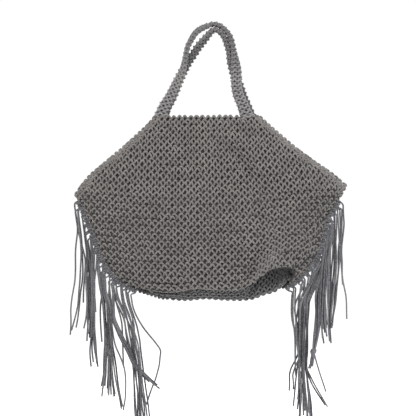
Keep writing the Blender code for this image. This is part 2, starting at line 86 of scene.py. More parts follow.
def soft_light(name, place, target, size, power, tint=(1.0, 1.0, 1.0)):
    """A square lamp that faces its target."""
    data = bpy.data.lights.new(name, "AREA")
    data.color = tint
    data.size = size
    data.energy = power
    lamp = in_scene(name, data)
    lamp.location = place
    lamp.rotation_euler = (Vector(target) - Vector(place)).to_track_quat("-Z", "Y").to_euler()


soft_light("behind", (0.7, 1.6, 0.9), BAG_MIDDLE, size=1.4, power=22.0)
soft_light("ceiling", (-0.55, -1.1, 1.25), BAG_MIDDLE, size=1.1, power=36.0)
soft_light("right", (1.5, -0.12, 0.1), (0.1, 0.0, -0.3), size=0.9, power=13.0, tint=(0.86, 0.91, 1.0))

floor_shape = bmesh.new()
bmesh.ops.create_grid(floor_shape, x_segments=2, y_segments=2, size=FLOOR_SPAN / 2)
bmesh.ops.translate(floor_shape, verts=floor_shape.verts, vec=(0.0, 0.0, -FLOOR_DROP))
floor_mesh = bpy.data.meshes.new("floor")
floor_shape.to_mesh(floor_mesh)
floor_shape.free()
floor = in_scene("floor", floor_mesh)
floor_finish = bpy.data.materials.new("white_floor")
floor_finish.use_nodes = True
floor_surface = floor_finish.node_tree.nodes["Principled BSDF"]
for socket, value in (
    ("Base Color", (0.98, 0.98, 0.98, 1.0)),
    ("Roughness", 1.0),
    ("Specular IOR Level", 0.0),
    ("Emission Color", (1.0, 1.0, 1.0, 1.0)),
    ("Emission Strength", 0.1),
):
    floor_surface.inputs[socket].default_value = value
floor_mesh.materials.append(floor_finish)

# ---- Front panel
# The front is one piece of soft cotton cord, worked in rows from the top edge down: each row
# zigzags, and its tips are looped through the row above, which leaves small upright holes.
# Straight inner cords, painted dark as shade, close the holes from behind. The slanted borders roll
# inwards.

BODY_HALF_WIDTH = 0.226
BODY_HEIGHT = 0.308
BELLY_DEPTH = 0.042  # of one panel, at its fullest
HANDLE_DROP = 0.1427  # from the point that the bag hangs by to the panels' top edge
MOUTH_GAP = 0.004  # between the panels along the mouth
SEAM_GAP = 0.0008  # and at the seams
INSET_SHARE = 0.3  # of an inset, by which a line near the seam keeps off the other panel
FRONT, BACK = -1, 1
LEFT, RIGHT = -1, 1

PANEL_ROWS = (
    # height, left, right, depth, fullness, roundness, mouth
    (0.032, -0.445, 0.372, 0.74, 2.5, 1.25, 0.0),
    (0.064, -0.591, 0.522, 0.80, 2.5, 1.20, 0.0),
    (0.107, -0.693, 0.613, 0.87, 2.5, 1.20, 0.0),
    (0.161, -0.759, 0.686, 0.93, 2.4, 1.15, 0.0),
    (0.241, -0.821, 0.766, 0.98, 2.4, 1.15, 0.0),
    (0.332, -0.861, 0.799, 1.00, 2.4, 1.15, 0.0),
    (0.450, -0.927, 0.843, 0.97, 2.5, 1.15, 0.0),
    (0.515, -0.966, 0.898, 0.92, 2.8, 1.25, 0.1),
    (0.566, -1.014, 0.946, 0.86, 3.4, 1.45, 0.5),
    (0.611, -0.972, 0.981, 0.80, 4.4, 1.75, 0.9),
    (0.670, -0.907, 0.891, 0.72, 5.4, 1.95, 1.0),
    (0.737, -0.797, 0.757, 0.64, 6.2, 2.00, 1.0),
    (0.804, -0.686, 0.631, 0.57, 6.8, 2.00, 1.0),
    (0.870, -0.587, 0.523, 0.51, 7.4, 2.00, 1.0),
    (0.938, -0.486, 0.416, 0.46, 8.0, 2.00, 1.0),
    (1.000, -0.416, 0.328, 0.43, 8.6, 2.00, 1.0),
)
FRONT_HEM = (
    # across, height
    (-1.00, 0.055),
    (-0.92, 0.066),
    (-0.80, 0.050),
    (-0.66, 0.041),
    (-0.37, 0.048),
    (-0.15, 0.063),
    (0.04, 0.057),
    (0.34, 0.054),
    (0.47, 0.068),
    (0.55, 0.120),
    (0.63, 0.166),
    (0.76, 0.178),
    (0.88, 0.164),
    (0.95, 0.120),
    (1.00, 0.075),
)
BACK_HEM = (
    # across, height
    (-1.00, 0.055),
    (-0.85, 0.060),
    (-0.40, 0.036),
    (0.10, 0.034),
    (0.50, 0.042),
    (0.85, 0.072),
    (1.00, 0.075),
)
FRONT_FOLDS = (
    # across, height, to across, to height, reach, rise
    (0.139, 0.804, 0.380, 0.580, 0.24, -0.11),
    (0.220, 0.820, 0.560, 0.620, 0.36, 0.07),
    (-0.350, 0.370, 0.020, 0.360, 0.50, -0.09),
    (-0.690, 0.380, -0.560, 0.330, 0.45, -0.10),
    (-0.250, 0.110, 0.120, 0.100, 0.55, 0.08),
    (0.360, 0.180, 0.560, 0.215, 0.34, 0.14),
    (0.260, 0.130, 0.330, 0.260, 0.30, -0.10),
)
BACK_FOLDS = (
    # across, height, to across, to height, reach, rise
    (-0.200, 0.830, -0.420, 0.560, 0.32, -0.10),
    (0.180, 0.720, 0.480, 0.470, 0.36, -0.08),
    (-0.300, 0.220, 0.300, 0.180, 0.60, 0.08),
    (0.520, 0.360, 0.680, 0.300, 0.40, -0.08),
)
FOLD_BORDER = 8  # the folds fade out towards the sides, faster the higher this is

CORD_RADIUS = 0.00176
EDGING_RADIUS = 0.00155
CORD_INSET = 0.0023  # from the panel's face to the middle of its zigzag cords
INNER_INSET = 0.0058  # and to the middle of the inner cords
INNER_RADIUS = 0.0025
SWINGS = (0.0030, 0.0023)  # how far the tips of every other row rise and drop
ROW_SHIFTS = (0.0004, 0.0004)  # how far every other row is moved up and along, and the rest back
LIFT = 0.0013  # how far its upper tips stand out and its lower tips sink
UNEVEN = (0.16, 0.0006, 0.22, 0.0008)  # of the swing, along, in phase and outwards
HAND_LIMIT = 1.8  # the most that a chance value may reach
HAND_SEED = 5
PINCHES = (0.022, 0.040)  # how much every other row's tips spread, as a share of its length
STEPS = 8  # points in one zigzag
ROW_PLACES = np.sin(np.linspace(-math.pi / 2, math.pi / 2, 401))  # across, closer at the sides
SIDE_POINTS = 700  # places at which a panel's side is worked out
CORD_STEP = 0.37  # along the UV map, from the start of a cord to that of the next
FAN_CENTRE = -0.046  # the columns of holes fan out downwards from this x
STITCH_LENGTHS = (
    # height, length of one zigzag
    (0.00, 0.0110),
    (0.26, 0.0109),
    (0.92, 0.0095),
    (1.00, 0.0093),
)
ROW_PITCHES = (
    # height, from a row to the next
    (0.00, 0.0054),
    (0.12, 0.0057),
    (0.53, 0.0057),
    (0.56, 0.0050),
    (0.60, 0.0050),
    (0.64, 0.0058),
    (0.72, 0.0058),
    (0.86, 0.0054),
    (1.00, 0.0053),
)
ROW_TILTS = (
    # x, how far the rows are lifted there
    (-0.230, 0.0125),
    (-0.120, 0.0027),
    (-0.060, 0.0),
    (-0.020, 0.0011),
    (0.225, 0.0150),
)
TILT_FADE = ((0.70, 1.0), (1.00, 0.0))  # height, share of the tilt
FIRST_SWING = 0.8  # of the first row's tips, as a share of the other rows'
LOWEST_ROW = -0.016  # from the panels' foot
HEM_CLEAR = 0.008  # the rows end this share of the height above the lower edge
HEM_COVER = 0.006  # and the inner cords this share below it
FIRST_ROW_DROP = 0.0078  # from the top edge to the middle of the first row
SLANT_FROM = 0.58  # the slanted borders begin at this height
SLANT_MARGIN = 0.0045  # and the rows stop this far from their edge
HEM_FOLLOW = 0.5  # share of the front edge's wave that the rows above it take
HEM_REACH = 0.060  # and the height over which it fades
HEIGHT_PROBE = 0.004  # how far up and down a panel's slope is felt
SLANT_EDGE = (0.560, 0.985, 0.0034, 0.0087, 0.0019, 0.0008)  # heights, inset, loop, out, sink
SEAM_EDGE = (0.570, 0.0022, 0.0076, 0.0012, 0.0008)  # height to, and the same
SEAM_BACKING = (0.585, 0.0047, 0.0087, 0.0, 0.0)
SEAM_BACKING_DROP = 0.01  # below the lower edge's end
LOOP_PINCH = 0.0006
HEM_EDGE = (0.0104, 0.0038, 0.0012, 0.0010, 0.0022)  # stitch, inset, swing, lift, shift up
TOP_EDGE = (0.0094, 0.0058, 0.0, 0.0, -0.0085)
SLANT_BANDS = (
    # nearest and furthest from the edge, phase, how far it stands out
    (0.0015, 0.0065, 0.0, 0.0004),
    (0.0050, 0.0105, math.pi, 0.0008),
    (0.0095, 0.0150, 0.0, 0.0008),
)
BAND_SPAN = (0.575, 0.985)  # heights from and to
BAND_STITCH = 0.0087
BAND_LIFT = 0.0010  # how far a band's inner tips stand out and its outer ones sink
BAND_UNEVEN = (0.4, 0.0007, 0.0006)  # in phase, along and outwards


def even(rows, key, column):
    """A column of a table at key, in straight runs from row to row."""
    return np.interp(key, [row[0] for row in rows], [row[column] for row in rows])


def smooth(rows, key, column):
    """A column of a table at key, on a curve through the rows that never swings past them."""
    keys = np.array([row[0] for row in rows])
    values = np.array([row[column] for row in rows])
    slopes = np.diff(values) / np.diff(keys)
    total = slopes[:-1] + slopes[1:]
    product = slopes[:-1] * slopes[1:]
    bends = np.zeros(len(keys))
    bends[0], bends[-1] = slopes[0], slopes[-1]
    bends[1:-1] = np.where(product > 0, 2 * product / np.where(product > 0, total, 1.0), 0.0)
    key = np.clip(key, keys[0], keys[-1])
    place = np.clip(np.searchsorted(keys, key) - 1, 0, len(keys) - 2)
    span = keys[place + 1] - keys[place]
    s = (key - keys[place]) / span
    rise = s * s * (3 - 2 * s) * (values[place + 1] - values[place])
    start_bend = s * (1 - s) ** 2 * bends[place]
    end_bend = s * s * (s - 1) * bends[place + 1]
    return values[place] + rise + span * (start_bend + end_bend)


def height_of(share):
    """The world height of a share of the body's height."""
    return -HANDLE_DROP - (1 - share) * BODY_HEIGHT


def sides_at(height):
    """Where a panel's two sides are at a share of the body's height."""
    return (even(PANEL_ROWS, height, column) * BODY_HALF_WIDTH for column in (1, 2))


def fold_rise(folds, x, height, border):
    """How far the folds lift or sink a panel's face at places."""
    rise = np.zeros(np.shape(x))
    for across, start, to_across, end, reach, amount in folds:
        first = np.array((across * BODY_HALF_WIDTH, start * BODY_HEIGHT))
        line = np.array((to_across * BODY_HALF_WIDTH, end * BODY_HEIGHT)) - first
        east, north = x - first[0], height * BODY_HEIGHT - first[1]
        along = np.clip((east * line[0] + north * line[1]) / line.dot(line), 0.0, 1.0)
        away = np.hypot(east - line[0] * along, north - line[1] * along) / (reach * BELLY_DEPTH)
        rise += amount * BELLY_DEPTH * np.exp(-away * away)
    return rise * (1 - np.abs(border) ** FOLD_BORDER)


def panel_points(side, across, height, inset):
    """Points on a panel, inset within its face: across is -1 and 1 at its sides."""
    left, right = sides_at(height)
    left, right = left + inset, right - inset
    depth = smooth(PANEL_ROWS, height, 3) * BELLY_DEPTH - inset
    fullness, roundness, mouth = (smooth(PANEL_ROWS, height, column) for column in (4, 5, 6))
    gap = SEAM_GAP + mouth * (MOUTH_GAP - SEAM_GAP) + 2 * inset * (1 - mouth) * INSET_SHARE
    x = (left + right) / 2 + across * (right - left) / 2
    swell = (1 - np.minimum(np.abs(across), 1.0) ** fullness) ** (1 / roundness)
    folds = FRONT_FOLDS if side == FRONT else BACK_FOLDS
    y = depth * swell + fold_rise(folds, x, height, across)
    return np.stack([x, side * (y + gap / 2), height_of(height)], axis=-1)


def unit(vectors):
    """The same directions, each one metre long."""
    return vectors / np.maximum(np.linalg.norm(vectors, axis=-1, keepdims=True), 1e-12)


def lengths_along(line):
    """How long a line is up to each of its points."""
    return np.concatenate([[0.0], np.cumsum(np.linalg.norm(np.diff(line, axis=0), axis=1))])


def points_at(at, arc, line):
    """The points at some lengths along a line."""
    return np.stack([np.interp(at, arc, line[:, axis]) for axis in range(3)], axis=-1)


def zigzag(middle, up, out, phase, swing, lift, pinch):
    """The line of one zigzag cord round its row's middle line, given at each of its points."""
    along = unit(np.gradient(middle, axis=0))
    rise = np.cos(phase)[:, None]
    spread = np.sin(2 * phase)[:, None]
    return middle + up * rise * swing + out * rise * lift + along * spread * pinch


def cord_mesh(name, paths, radius, closed=False, roundness=1, capped=False):
    """Round cords along paths, as one object. Its UV map holds metres along and turns round.

    Each cord starts further along than the one before, so its tone is its own.
    """
    curve = bpy.data.curves.new(name, "CURVE")
    curve.dimensions = "3D"
    curve.bevel_depth = radius
    curve.bevel_resolution = roundness
    curve.use_fill_caps = capped
    lengths = []
    for path in paths:
        spline = curve.splines.new("POLY")
        spline.points.add(len(path) - 1)
        spline.points.foreach_set("co", np.column_stack([path, np.ones(len(path))]).ravel())
        spline.use_cyclic_u = closed
        spans = np.linalg.norm(np.diff(path, axis=0), axis=1).sum()
        lengths.append((spans, len(path) - (0 if closed else 1)))
    carrier = in_scene(name, curve)
    graph = bpy.context.evaluated_depsgraph_get()
    mesh = bpy.data.meshes.new_from_object(carrier.evaluated_get(graph))
    bpy.data.objects.remove(carrier)
    mesh.name = name
    sides = 4 + 2 * roundness
    corners = np.concatenate([np.full(count * sides * 4, length) for length, count in lengths])
    flat = np.zeros(len(mesh.loops) * 2, np.float32)
    mesh.uv_layers[0].uv.foreach_get("vector", flat)
    flat = flat.reshape(-1, 2)
    starts = [np.full(count * sides * 4, k * CORD_STEP) for k, (_, count) in enumerate(lengths)]
    flat[len(flat) - len(corners) :, 0] *= corners
    flat[len(flat) - len(corners) :, 0] += np.concatenate(starts)
    mesh.uv_layers[0].uv.foreach_set("vector", flat.ravel())
    mesh.shade_smooth()
    return in_scene(name, mesh)


def hem_share(side, across):
    """The height of a panel's lower edge, as a share of the body's."""
    return smooth(FRONT_HEM if side == FRONT else BACK_HEM, across, 1)


def row_line(side, level):
    """One row's across and height values, level at the top and tilted and waved further down."""
    across, height = ROW_PLACES, np.full(ROW_PLACES.shape, level)
    wave = (hem_share(side, across) - hem_share(side, 0.0)) * HEM_FOLLOW
    above = (level - hem_share(side, across)) * BODY_HEIGHT
    bend = wave * np.exp(-np.maximum(above, 0.0) / HEM_REACH)
    for _ in range(3):
        left, right = sides_at(height)
        x = (left + right) / 2 + across * (right - left) / 2
        tilt = even(ROW_TILTS, x, 1) * even(TILT_FADE, level, 1) / BODY_HEIGHT
        height = np.minimum(level + tilt + bend, 1.0)
    return across, height


def along_row(side, across, height, inset):
    """The row's line at an inset, how long it is up to each point, and that at the fan's centre."""
    line = panel_points(side, across, height, inset)
    arc = lengths_along(line)
    return line, arc, np.interp(FAN_CENTRE, line[:, 0], arc)


def panel_frame(side, across, height, inset):
    """Points of a row with the directions up the panel and out of it."""
    middle = panel_points(side, across, height, inset)
    higher = panel_points(side, across, np.minimum(height + HEIGHT_PROBE, 1.0), inset)
    lower = panel_points(side, across, height - HEIGHT_PROBE, inset)
    along = unit(np.gradient(middle, axis=0))
    up = unit(higher - lower)
    out = unit(np.cross(up, along)) * side
    return middle, unit(np.cross(along, out)) * side, out


def row_levels():
    """The heights of the panels' rows, from the top edge down."""
    levels, z = [], BODY_HEIGHT - FIRST_ROW_DROP
    while z > LOWEST_ROW:
        levels.append(z / BODY_HEIGHT)
        z -= float(even(ROW_PITCHES, z / BODY_HEIGHT, 1))
    return levels


def uneven(chance, ticks):
    """Four slow chance values for each point of a row, a new one for every tip."""
    tips = (ticks - ticks[0]) / (STEPS / 2)
    values = chance.normal(0.0, 1.0, (4, int(tips[-1]) + 2)).clip(-HAND_LIMIT, HAND_LIMIT)
    return [np.interp(tips, np.arange(values.shape[1]), row) for row in values]


def unbroken(numbers):
    """Rising whole numbers, split where some are left out."""
    return np.split(np.array(numbers, int), np.where(np.diff(numbers) > 1)[0] + 1)


def panel_net(side):
    """The lines of a panel's zigzag cords, and of the straight inner cords behind them."""
    strands, columns = [], {}
    chance = np.random.default_rng(HAND_SEED + side)
    for number, level in enumerate(row_levels()):
        across, height = row_line(side, level)
        line, arc, centre = along_row(side, across, height, CORD_INSET)
        stitch = float(even(STITCH_LENGTHS, level, 1))
        margin = SLANT_MARGIN if level > SLANT_FROM else 0.0
        first = math.ceil((margin - centre) / stitch * STEPS)
        last = math.floor((arc[-1] - margin - centre) / stitch * STEPS)
        ticks = np.arange(first, last + 1)
        at = np.interp(centre + ticks * stitch / STEPS, arc, across)
        up_at = np.interp(at, across, height)
        middle, up, out = panel_frame(side, at, up_at, CORD_INSET)
        phase = 2 * math.pi * ticks / STEPS + math.pi * (number % 2)
        hand = uneven(chance, ticks)
        turn = 1 - 2 * (number % 2)
        forward = turn * ROW_SHIFTS[1] + hand[1][:, None] * UNEVEN[1]
        middle = middle + unit(np.gradient(middle, axis=0)) * forward
        middle = middle + up * turn * ROW_SHIFTS[0] + out * hand[3][:, None] * UNEVEN[3]
        swing = SWINGS[number % 2] * (1 + UNEVEN[0] * hand[0][:, None])
        swing = swing * (FIRST_SWING if number == 0 else 1.0)
        phase = phase + UNEVEN[2] * hand[2]
        points = zigzag(middle, up, out, phase, swing, LIFT, PINCHES[number % 2] * stitch)
        kept = up_at > hem_share(side, at) + HEM_CLEAR
        strands += [points[run] for run in unbroken(np.flatnonzero(kept)) if len(run) > STEPS // 2]
        line, arc, centre = along_row(side, across, height, INNER_INSET)
        wide = int(arc[-1] / stitch * 2) + 2
        for column in range(-wide, wide + 1):
            place = centre + column * stitch / 2
            if 0.0 < place < arc[-1]:
                t = np.interp(place, arc, across)
                h = np.interp(t, across, height)
                if h > hem_share(side, t) - HEM_COVER:
                    point = panel_points(side, np.array([t]), np.array([h]), INNER_INSET)[0]
                    columns.setdefault(column, []).append((number, point))
    inner = []
    for places in columns.values():
        for run in unbroken([number for number, _ in places]):
            if len(run) > 2:
                inner.append(np.array([point for number, point in places if number in run]))
    return strands, inner


def add_node(tree, kind, values=None, **settings):
    """A shader node with its settings and the values of its own sockets."""
    node = tree.nodes.new(f"ShaderNode{kind}")
    for name, setting in settings.items():
        setattr(node, name, setting)
    for socket, value in (values or {}).items():
        node.inputs[socket].default_value = value
    return node


def connect(tree, *wires):
    """Links one node's output to another's input, wire by wire."""
    for source, output, target, socket in wires:
        tree.links.new(source.outputs[output], target.inputs[socket])


def braid_group():
    """A fine braid over a cord, from its UV map, and a slow change of tone over the piece."""
    group = bpy.data.node_groups.new("braided_cord", "ShaderNodeTree")
    for way, name, kind in (
        ("INPUT", "Along", "Vector"),
        ("INPUT", "Place", "Vector"),
        ("INPUT", "Light", "Color"),
        ("INPUT", "Shade", "Color"),
        ("INPUT", "Own", "Float"),
        ("OUTPUT", "Color", "Color"),
        ("OUTPUT", "Height", "Float"),
        ("OUTPUT", "Roughness", "Float"),
    ):
        group.interface.new_socket(name=name, in_out=way, socket_type=f"NodeSocket{kind}")
    inside = group.nodes.new("NodeGroupInput")
    outside = group.nodes.new("NodeGroupOutput")
    higher = add_node(group, "Math", operation="MAXIMUM")
    for socket, turn in enumerate((1.0, -1.0)):
        lay = add_node(group, "Mapping", {"Scale": (620.0, 6.0 * turn, 1.0)})
        wave = {"Scale": 0.5, "Distortion": 0.4}
        rib = add_node(group, "TexWave", wave, wave_type="BANDS", bands_direction="DIAGONAL")
        connect(
            group,
            (inside, "Along", lay, "Vector"),
            (lay, "Vector", rib, "Vector"),
            (rib, "Fac", higher, socket),
        )
    tone = add_node(group, "TexNoise", {"Scale": 38.0, "Detail": 5.0, "Roughness": 0.7})
    own_place = add_node(group, "Mapping", {"Scale": (9.0, 0.0, 0.0)})
    own = add_node(group, "TexNoise", {"Scale": 1.0, "Detail": 1.0})
    tones = add_node(group, "Mix")
    fleck = add_node(group, "TexNoise", {"Scale": 520.0, "Detail": 2.0})
    both = add_node(group, "Math", {1: 0.80}, operation="MULTIPLY_ADD")
    spread = add_node(group, "MapRange", {"From Min": 0.72, "From Max": 1.10})
    blend = add_node(group, "Mix", data_type="RGBA")
    dull = add_node(group, "MapRange", {"To Min": 0.72, "To Max": 0.92})
    connect(
        group,
        (higher, "Value", outside, "Height"),
        (inside, "Place", tone, "Vector"),
        (inside, "Along", own_place, "Vector"),
        (own_place, "Vector", own, "Vector"),
        (inside, "Own", tones, "Factor"),
        (tone, "Fac", tones, "A"),
        (own, "Fac", tones, "B"),
        (inside, "Place", fleck, "Vector"),
        (fleck, "Fac", both, 0),
        (tones, "Result", both, 2),
        (both, "Value", spread, "Value"),
        (spread, "Result", blend, "Factor"),
        (inside, "Shade", blend, "A"),
        (inside, "Light", blend, "B"),
        (blend, "Result", outside, "Color"),
        (tone, "Fac", dull, "Value"),
        (dull, "Result", outside, "Roughness"),
    )
    return group


def cord_finish(name, light, shade, sheen=0.1, own=0.5):
    """A soft matt cord: its two tones are mixed over the piece and from cord to cord."""
    material = bpy.data.materials.new(name)
    material.use_nodes = True
    tree = material.node_tree
    surface = tree.nodes["Principled BSDF"]
    surface.inputs["Specular IOR Level"].default_value = 0.25
    surface.inputs["Sheen Weight"].default_value = sheen
    surface.inputs["Sheen Roughness"].default_value = 0.6
    along = add_node(tree, "UVMap", uv_map="UVMap")
    place = add_node(tree, "TexCoord")
    tones = {"Light": (*light, 1.0), "Shade": (*shade, 1.0), "Own": own}
    braid = add_node(tree, "Group", tones, node_tree=braided_cord)
    bump = add_node(tree, "Bump", {"Strength": 0.6, "Distance": 0.0003})
    connect(
        tree,
        (along, "UV", braid, "Along"),
        (place, "Object", braid, "Place"),
        (braid, "Color", surface, "Base Color"),
        (braid, "Roughness", surface, "Roughness"),
        (braid, "Height", bump, "Height"),
        (bump, "Normal", surface, "Normal"),
    )
    return material


def side_loops(side, end, low, high, inset, loop):
    """The phases of even loops along one side of a panel, and the height at each."""
    height = np.linspace(low, high, SIDE_POINTS)
    arc = lengths_along(panel_points(side, np.full(height.shape, float(end)), height, inset))
    count = round(arc[-1] / loop)
    phase = np.linspace(0.0, 2 * math.pi * count, count * STEPS + 1)
    return phase, np.interp(phase / (2 * math.pi * count) * arc[-1], arc, height)


def border_line(side, end, low, high, inset, loop, out, sink):
    """A looped cord along one side of a panel, a loop for each of its rows."""
    phase, at = side_loops(side, end, low, high, inset, loop)
    middle = panel_points(side, np.full(at.shape, float(end)), at, inset)
    along = unit(np.gradient(middle, axis=0))
    away = unit(np.stack([along[:, 2] * end, 0 * at, -along[:, 0] * end], axis=-1))
    deep = np.array((0.0, float(side), 0.0))
    return (
        middle
        + away * ((2 * np.abs(np.sin(phase / 2)) - 1)[:, None] * out)
        + deep * ((1 + np.sin(phase)[:, None]) * sink)
        + along * (np.sin(2 * phase)[:, None] * LOOP_PINCH)
    )


def band_line(side, end, low, high, near, far, turn, proud):
    """A close zigzag cord along one slanted side, between two distances from its edge."""
    phase, at = side_loops(side, end, low, high, CORD_INSET, BAND_STITCH)
    phase = phase + turn
    hand = uneven(np.random.default_rng(int(far * 10000)), np.arange(len(at)))
    left, right = sides_at(at)
    reach = near + (far - near) * (0.5 + 0.5 * np.cos(phase + BAND_UNEVEN[0] * hand[0]))
    across = end * (1 - (reach + BAND_UNEVEN[1] * hand[1]) * 2 / (right - left))
    rise = BAND_LIFT * np.cos(phase) + BAND_UNEVEN[2] * hand[2]
    return panel_points(side, across, at, CORD_INSET - proud - rise)


def edge_line(side, height_at, stitch, inset, swing, lift, shift):
    """A zigzag cord along a panel's whole width, at a height for each across."""
    across, height = ROW_PLACES, height_at(ROW_PLACES) + shift / BODY_HEIGHT
    line, arc, centre = along_row(side, across, height, inset)
    ticks = np.arange(math.ceil(-centre / stitch * STEPS), int((arc[-1] - centre) / stitch * STEPS))
    at = np.interp(centre + ticks * stitch / STEPS, arc, across)
    middle, up, out = panel_frame(side, at, np.interp(at, across, height), inset)
    phase = 2 * math.pi * ticks / STEPS
    return zigzag(middle, up, out, phase, swing, lift, 0.0)


def build_panel(name, side, finish, painted_shade_inner_finish, node):
    """A panel's zigzag cords, its inner cords and the cords that finish its edges."""
    strands, inner = panel_net(side)
    net = cord_mesh(f"{name}_rows", strands, CORD_RADIUS)
    edges = []
    for end in (LEFT, RIGHT):
        low = float(hem_share(side, float(end)))
        edges.append(border_line(side, end, *SLANT_EDGE))
        edges.append(border_line(side, end, low, *SEAM_EDGE))
        inner.append(border_line(side, end, low - SEAM_BACKING_DROP, *SEAM_BACKING))
        edges += [band_line(side, end, *BAND_SPAN, *band) for band in SLANT_BANDS]
    edges.append(edge_line(side, lambda across: hem_share(side, across), *HEM_EDGE))
    edges.append(edge_line(side, np.ones_like, *TOP_EDGE))
    backing = cord_mesh(f"{name}_inner_cords", inner, INNER_RADIUS)
    edging = cord_mesh(f"{name}_edging", edges, EDGING_RADIUS)
    for piece in (net, edging):
        piece.data.materials.append(finish)
    backing.data.materials.append(painted_shade_inner_finish)
    for piece in (net, backing, edging):
        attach(piece, "root")
        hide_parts(node)


braided_cord = braid_group()
panel_finish = cord_finish("panel_cord", (0.171, 0.159, 0.151), (0.089, 0.082, 0.078))
# Painted shade: the inner cords are coloured nearly black to stand for the shadow deep in the holes.
painted_shade_inner_finish = cord_finish("panel_inner_cord_painted_shade", (0.038, 0.035, 0.034), (0.026, 0.024, 0.024), sheen=0.0)
build_panel("front", FRONT, panel_finish, painted_shade_inner_finish, "front_panel")

# ---- Back panel
# The same cord and the same work as the front, with its own folds and a straighter lower edge.

build_panel("back", BACK, panel_finish, painted_shade_inner_finish, "back_panel")

# ---- Base
# A strip of the same cord closes the bottom. Its rows run from side to side and follow the line
# that it hangs down to. Under the wave in the front's edge it draws back and climbs, in shadow.
# Its cord is painted darker than the panels' as shade, and darker still under the wave.

WALL = 0.005  # of a panel
BASE_WALL = 0.004
BASE_TUCK = 0.006  # how far the strip reaches up inside the panels
BASE_GAP = 0.0020  # between the strip and a panel
WAVE_RECESS = 0.026  # how far the strip draws back under the wave in the front's edge
WAVE_SHARE = 0.8  # and no more than this share of the depth there
WAVE_START = 0.070  # the edge's heights at which it begins to draw back and is furthest back
WAVE_TOP = 0.170
HEM_TRIES = (0.25, 8)  # a first height for a panel's lower edge, and how often it is mended
KEEL = (
    # across, height
    (-0.550, 0.052),
    (-0.500, 0.042),
    (-0.445, 0.030),
    (-0.380, 0.016),
    (-0.307, 0.005),
    (-0.204, 0.000),
    (-0.051, 0.009),
    (0.044, 0.004),
    (0.182, 0.000),
    (0.277, 0.005),
    (0.372, 0.030),
    (0.440, 0.043),
    (0.480, 0.062),
    (0.520, 0.090),
    (0.565, 0.120),
    (0.625, 0.150),
    (0.660, 0.172),
)
KEEL_RISE = 0.030  # the least that the back edge lies above the strip's lowest line
HEM_RISE = 0.012  # and the front edge
RIM_FOLD = 0.002  # how far the strip's rims are turned in
RIM_REACH = 0.018  # how far behind the front panel the strip reaches up to its inner face
FRONT_BULGE = 0.004
RECESS_BELOW = 0.7  # share of the recess that is left half way down
KEEL_EDGE = 0.009  # how far behind the front rim the strip turns under, and its rise there
KEEL_EDGE_RISE = 0.1
KEEL_SHARES = (0.45, 0.15, 0.65)  # of the depth, where the strip lies lowest and climbs again
BACK_RISE = 0.3
PROBE = 0.02  # how far beside a place a panel's slope is felt
CURVE_STEPS = 4  # points from one place of a curve to the next
BASE_STATIONS = 130
BASE_STITCH = 0.0101
BASE_PITCH = 0.0052
BASE_SWING = 0.0023
BASE_LIFT = 0.0013
BASE_PINCH = 0.03
BASE_ROW_END = 0.001  # a row ends this far from the strip's rims
BASE_PROBE = 0.002
FEWEST_STATIONS = 8  # a shorter row is left out
END_TURN = 2.2  # of the cord that winds along each end of the strip, from point to point
END_WIND = (0.0012, 0.0008)
BASE_INNER_EVERY = 3  # stations from one inner cord to the next
BASE_INNER_INSET = 0.0028
BASE_INNER_RADIUS = 0.0029


def hem_below(side, x):
    """The height of a panel's lower edge at x."""
    hem, tries = HEM_TRIES
    for _ in range(tries):
        left, right = sides_at(hem)
        hem = float(hem_share(side, (2 * x - left - right) / (right - left)))
    return hem


def inner_depth(side, x, height):
    """How far out the middle of the base strip's wall may lie behind a panel at a place."""
    left, right = sides_at(height)
    left, right = left + WALL, right - WALL
    across = (x - (left + right) / 2) * 2 / (right - left)
    face, beside = panel_points(
        side, np.array((across, across + math.copysign(PROBE, x))), np.full(2, height), WALL
    )
    slope = abs((beside[1] - face[1]) / (beside[0] - face[0]))
    return abs(face[1]) - (BASE_GAP + BASE_WALL / 2) * math.hypot(1.0, slope)


def base_section(x):
    """Points along the middle of the strip's wall, from front to back, in the plane at x."""
    keel = float(smooth(KEEL, x / BODY_HALF_WIDTH, 1))
    hem = max(hem_below(FRONT, x), keel + HEM_RISE)
    back_hem = max(hem_below(BACK, x), keel + KEEL_RISE)
    low = height_of(keel) + BASE_WALL / 2
    wave = min(max((hem - WAVE_START) / (WAVE_TOP - WAVE_START), 0.0), 1.0)
    front, back = inner_depth(FRONT, x, hem), inner_depth(BACK, x, back_hem)
    top, back_top = height_of(hem), height_of(back_hem)
    recess = min(WAVE_RECESS, front * WAVE_SHARE) * wave
    places = (
        (recess / 2 - front, top + BASE_TUCK),
        (recess - front + RIM_FOLD / 2, top - RIM_FOLD),
        (recess * RECESS_BELOW - front + FRONT_BULGE, (top + low) / 2),
        (KEEL_EDGE - front, low + KEEL_EDGE_RISE * (top - low)),
        (-front * KEEL_SHARES[0], low),
        (back * KEEL_SHARES[1], low + RIM_FOLD),
        (back * KEEL_SHARES[2], low + BACK_RISE * (back_top - low)),
        (back - RIM_FOLD, back_top - RIM_FOLD),
        (back, back_top + BASE_TUCK),
    )
    if wave > 0:
        rim = hem + RIM_REACH / BODY_HEIGHT
        places = ((-inner_depth(FRONT, x, rim), height_of(rim)), *places)
    return curve_through(places, CURVE_STEPS)


def curve_through(places, steps):
    """A smooth curve through a line's places, in so many steps from each to the next."""
    places = np.array(places, float)
    last = len(places) - 1
    a, b, c, d = (places[np.clip(np.arange(n, n + last), 0, last), None] for n in (-1, 0, 1, 2))
    s = np.arange(steps)[:, None] / steps
    bend, twist = 2 * a - 5 * b + 4 * c - d, 3 * b - a - 3 * c + d
    line = b + 0.5 * s * (c - a + s * (bend + s * twist))
    return np.concatenate([line.reshape(-1, places.shape[1]), places[-1:]])


